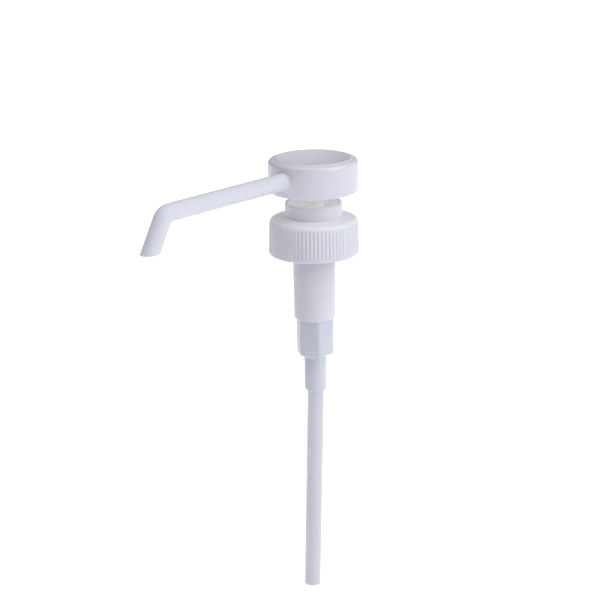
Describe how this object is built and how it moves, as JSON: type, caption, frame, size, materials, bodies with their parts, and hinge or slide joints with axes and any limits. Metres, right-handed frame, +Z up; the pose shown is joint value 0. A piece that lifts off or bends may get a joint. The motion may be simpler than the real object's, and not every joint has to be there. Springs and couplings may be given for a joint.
{
  "type": "condiment pump dispenser",
  "caption": "Hand pump for a 38-400 bottle neck: dished push head, long bent spout, ribbed screw closure, pump cylinder, six-sided foot valve body and dip tube.",
  "frame": {"origin": "centre of the neck gasket's underside, where the bottle's mouth seals", "axes": "+Z up along the pump's axis, -Y along the spout from the head"},
  "size_m": [0.0434, 0.1325, 0.2248],
  "materials": {
    "white_head_pp": "white polypropylene, semi-gloss",
    "white_spout_pp": "white extruded polypropylene, smooth",
    "white_closure_pp": "white polypropylene, semi-gloss",
    "white_neck_pp": "white polypropylene, semi-gloss",
    "white_barrel_pp": "white polypropylene, satin",
    "natural_valve_pp": "natural polypropylene, translucent and slightly blue",
    "natural_stem_pp": "natural polypropylene, slightly yellow",
    "natural_tube_pe": "natural polyethylene tube, waxy and translucent",
    "soft_seal_pe": "soft natural polyethylene",
    "foam_gasket_pe": "white polyethylene foam",
    "seal_rubber": "black food-grade rubber",
    "spring_steel": "drawn stainless wire",
    "ball_steel": "polished stainless steel"
  },
  "bodies": {
    "pump_body": {"housing": "white_barrel_pp", "valve_body": "natural_valve_pp", "dip_tube": "natural_tube_pe", "body_seal": "seal_rubber", "ball_cage": "natural_valve_pp", "neck_ring": "white_neck_pp", "stem_seal": "soft_seal_pe", "neck_gasket": "foam_gasket_pe", "return_spring": "spring_steel"},
    "plunger": {"piston_cup": "soft_seal_pe"},
    "head": {"actuator_head": "white_head_pp", "spout_tube": "white_spout_pp", "stem": "natural_stem_pp", "outlet_cage": "natural_stem_pp", "piston_rod": "natural_stem_pp"},
    "closure": {"collar": "white_closure_pp"},
    "inlet_valve": {"inlet_ball": "ball_steel"},
    "outlet_valve": {"outlet_ball": "ball_steel"}
  },
  "joints": [
    {"name": "press_stroke", "type": "slide", "parent": "pump_body", "child": "plunger", "axis": [0, 0, -1], "range_m": [0, 0.0104], "stiffness_N_per_m": 600, "springref_m": -0.012, "deforming": ["return_spring"]},
    {"name": "head_swivel", "type": "hinge", "parent": "plunger", "child": "head", "pos_m": [0, 0, 0.0282], "axis": [0, 0, 1], "continuous": true},
    {"name": "collar_spin", "type": "hinge", "parent": "pump_body", "child": "closure", "pos_m": [0, 0, 0], "axis": [0, 0, 1], "continuous": true},
    {"name": "inlet_ball_lift", "type": "slide", "parent": "pump_body", "child": "inlet_valve", "axis": [0, 0, 1], "range_m": [0, 0.0023]},
    {"name": "outlet_ball_lift", "type": "slide", "parent": "head", "child": "outlet_valve", "axis": [0, 0, 1], "range_m": [0, 0.00175]}
  ]
}
